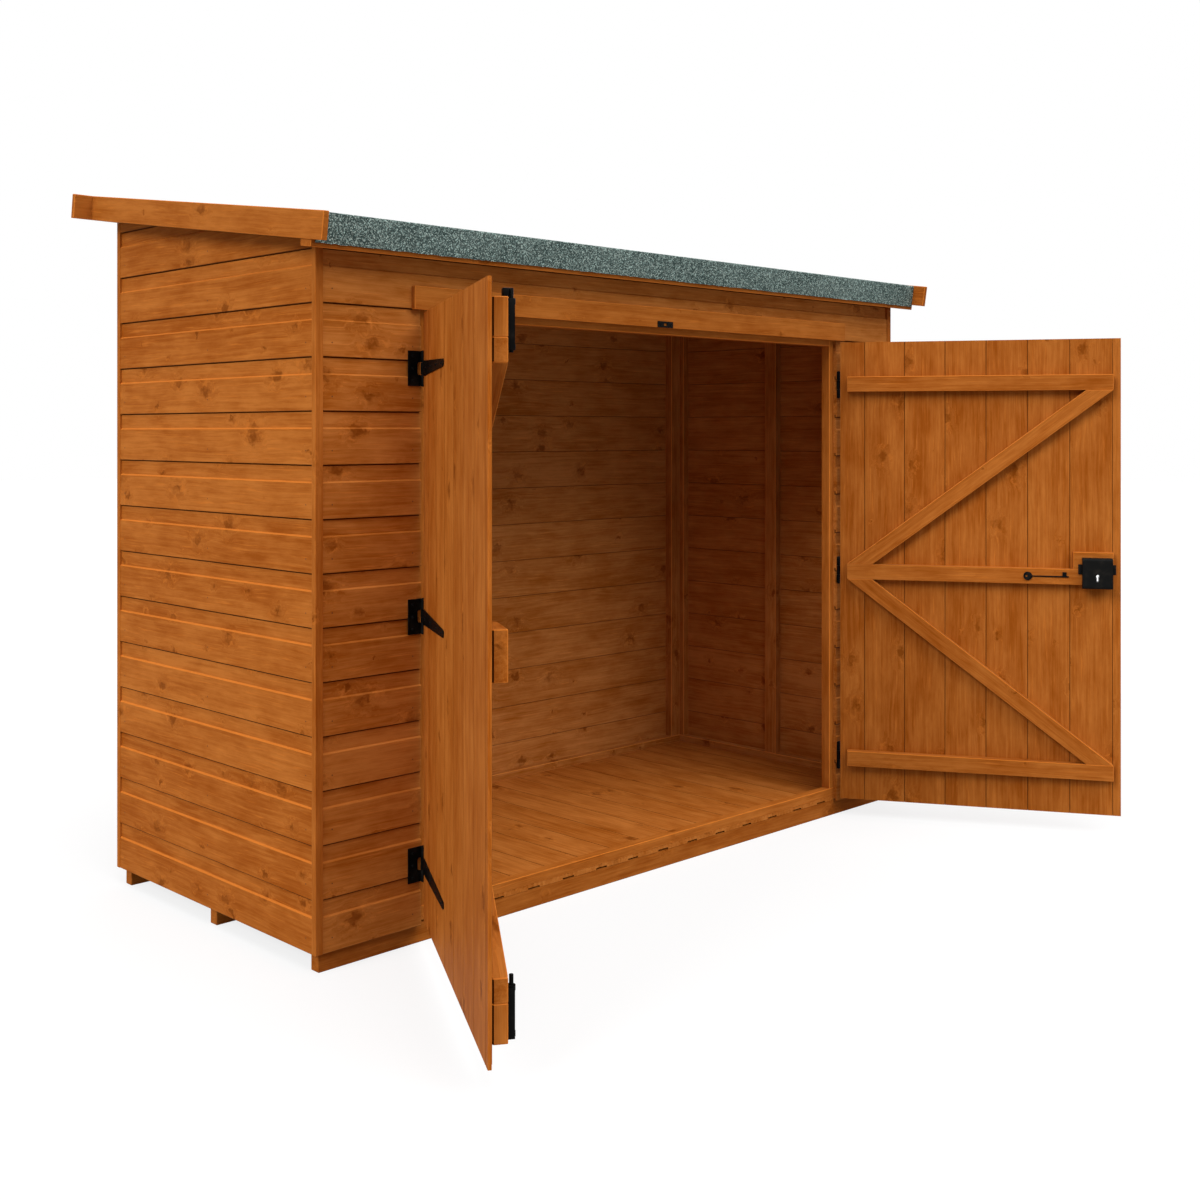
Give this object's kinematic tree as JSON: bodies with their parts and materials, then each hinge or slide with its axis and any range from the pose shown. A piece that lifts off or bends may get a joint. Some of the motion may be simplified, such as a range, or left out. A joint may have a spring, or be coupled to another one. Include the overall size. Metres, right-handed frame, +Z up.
{
  "type": "timber bike shed with double doors",
  "caption": "Low pent-roofed timber shed for bikes: shiplap walls on a boarded floor, outward double doors on T hinges, felted roof, sliding door bolts and a rim lock.",
  "frame": {"origin": "on the ground, at the centre of the middle floor joist's underside", "axes": "+X along the front to the right as seen facing the doors, +Y from the front to the rear, +Z up"},
  "size_m": [2.3733, 1.6163, 1.7328],
  "materials": {
    "cladding_timber": "stained, satin",
    "frame_timber": "stained, satin",
    "floor_timber": "stained, satin",
    "door_timber": "stained, satin",
    "roof_timber": "stained, satin",
    "felt": "mineral, rough",
    "ironwork": "satin black",
    "lock_metal": "satin black"
  },
  "bodies": {
    "shed": {"floor_joists": "floor_timber", "floor_deck": "floor_timber", "left_wall": "cladding_timber", "right_wall": "cladding_timber", "rear_wall": "cladding_timber", "front_left_wall": "cladding_timber", "front_right_wall": "cladding_timber", "front_header_wall": "cladding_timber", "corner_strips": "frame_timber", "side_wall_rails": "frame_timber", "side_wall_uprights": "frame_timber", "rear_wall_rails": "frame_timber", "rear_wall_uprights": "frame_timber", "front_top_rail": "frame_timber", "front_posts": "frame_timber", "door_jambs": "frame_timber", "door_head_rail": "frame_timber", "door_sill": "frame_timber", "door_head_strip": "frame_timber", "bolt_keep": "ironwork", "roof_rails": "roof_timber", "roof_end_rails": "roof_timber", "roof_deck": "roof_timber", "roof_felt": "felt", "left_barge_board": "roof_timber", "right_barge_board": "roof_timber", "rear_fascia": "roof_timber", "eaves_strip": "roof_timber", "left_hinge_plates": "ironwork", "right_hinge_plates": "ironwork"},
    "left_door": {"left_door_boards": "door_timber", "left_door_ledges": "door_timber", "left_door_braces": "door_timber", "left_door_blocks": "door_timber", "left_hinge_straps": "ironwork", "bolt_plates": "ironwork"},
    "right_door": {"right_door_boards": "door_timber", "right_door_ledges": "door_timber", "right_door_braces": "door_timber", "right_lock_block": "door_timber", "right_hinge_straps": "ironwork", "lock_case": "lock_metal", "lock_key": "ironwork"},
    "top_bolt": {"top_bolt": "ironwork"},
    "bottom_bolt": {"bottom_bolt": "ironwork"}
  },
  "joints": [
    {"name": "left_door_hinge", "type": "hinge", "parent": "shed", "child": "left_door", "pos_m": [-0.786, -0.44, 0.73], "axis": [0, 0, -1], "range_deg": [-120.7, 44.3]},
    {"name": "right_door_hinge", "type": "hinge", "parent": "shed", "child": "right_door", "pos_m": [0.786, -0.44, 0.73], "axis": [0, 0, 1], "range_deg": [-121, 44]},
    {"name": "top_bolt_slide", "type": "slide", "parent": "left_door", "child": "top_bolt", "axis": [0, 0, -1], "range_m": [-0.024, 0]},
    {"name": "bottom_bolt_slide", "type": "slide", "parent": "left_door", "child": "bottom_bolt", "axis": [0, 0, 1], "range_m": [-0.024, 0]}
  ]
}
